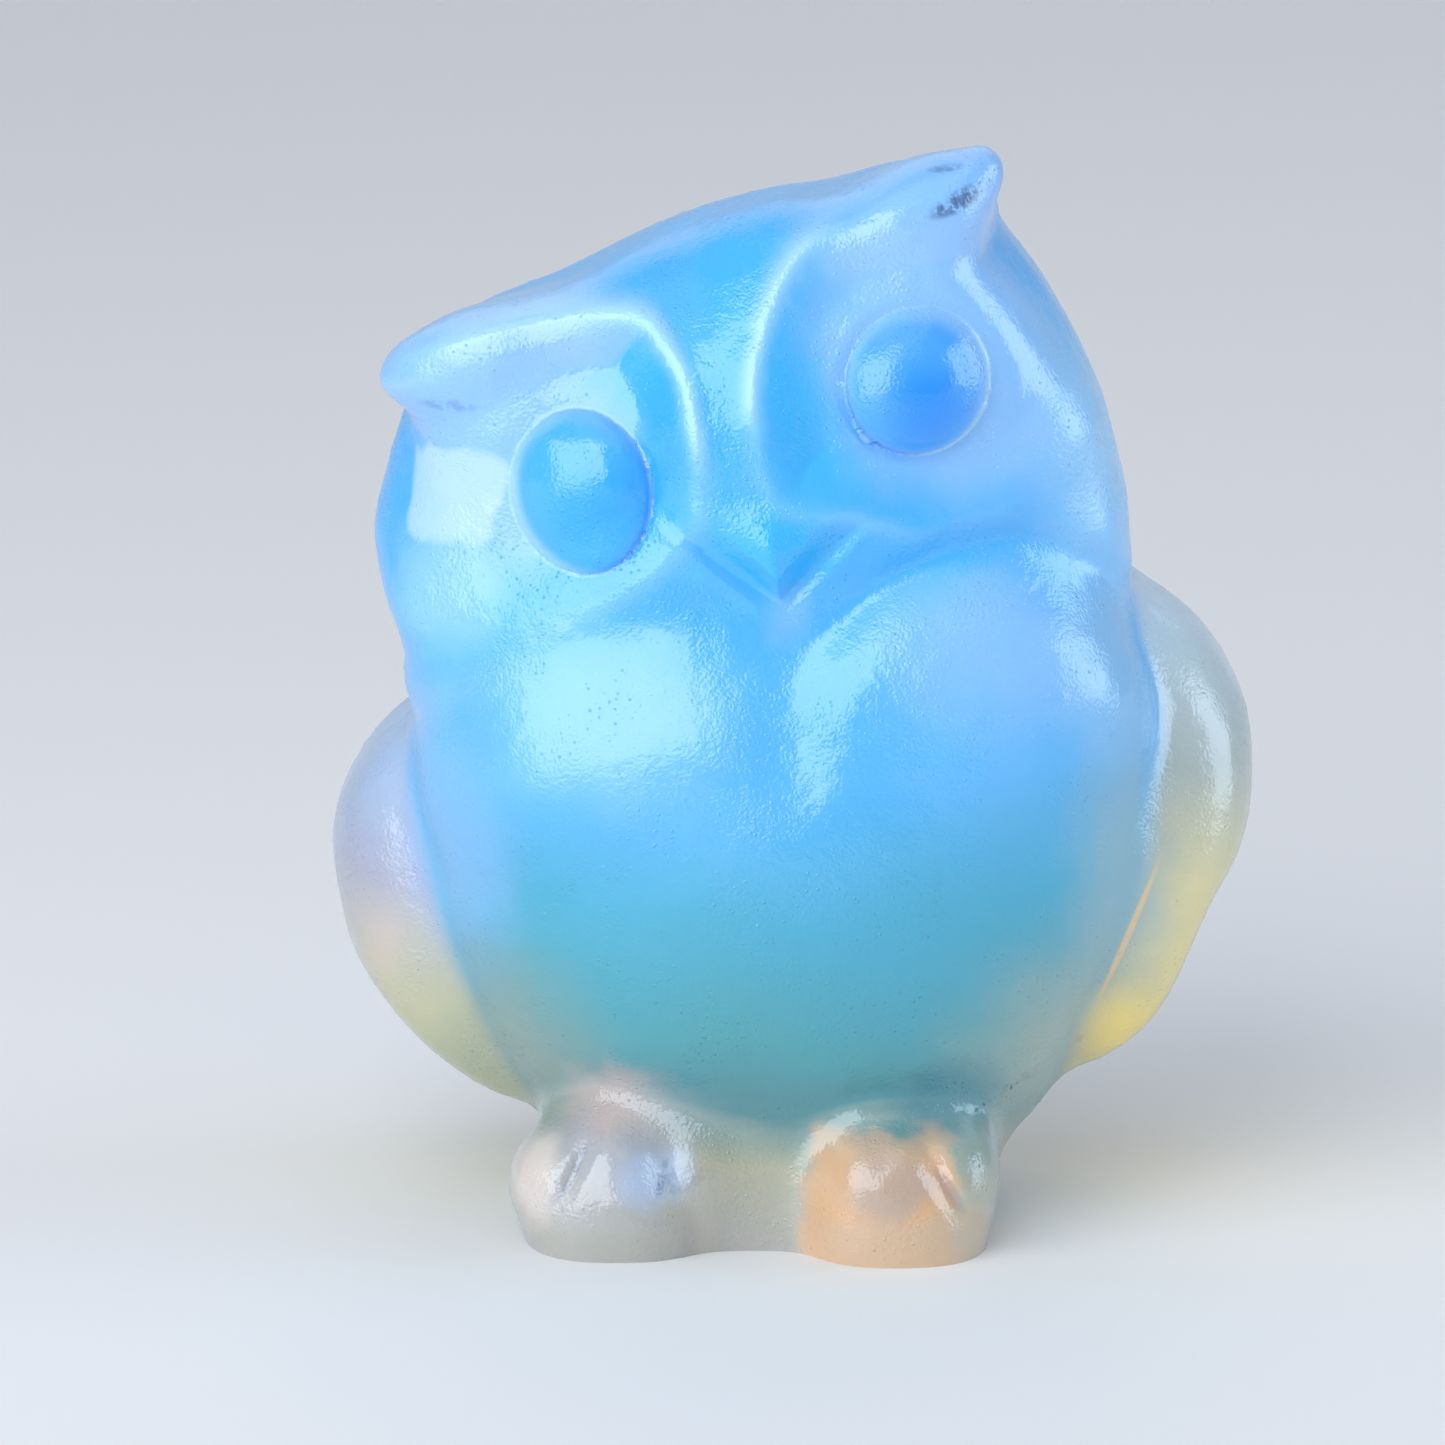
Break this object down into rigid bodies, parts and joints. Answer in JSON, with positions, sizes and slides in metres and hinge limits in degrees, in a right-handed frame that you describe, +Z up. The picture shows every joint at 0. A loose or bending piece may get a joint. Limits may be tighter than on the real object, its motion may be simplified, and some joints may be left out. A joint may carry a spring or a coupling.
{
  "type": "opal owl carving",
  "caption": "Small polished ornament carved from one piece of milky glass: a standing owl with a tilted head, large domed eyes, folded wings and a flat base to rest on",
  "frame": {"origin": "middle of the object's box, at the height of the flat base it rests on", "axes": "+Z up, the owl looks towards -Y, +X is on the right of a viewer in front of it"},
  "size_m": [0.032, 0.0214, 0.0372],
  "materials": {
    "opal": "tumble-polished milky opal glass with fine grain, azure where thick and pale cream to amber where thin"
  },
  "bodies": {
    "root": {"owl": "opal"}
  },
  "joints": []
}
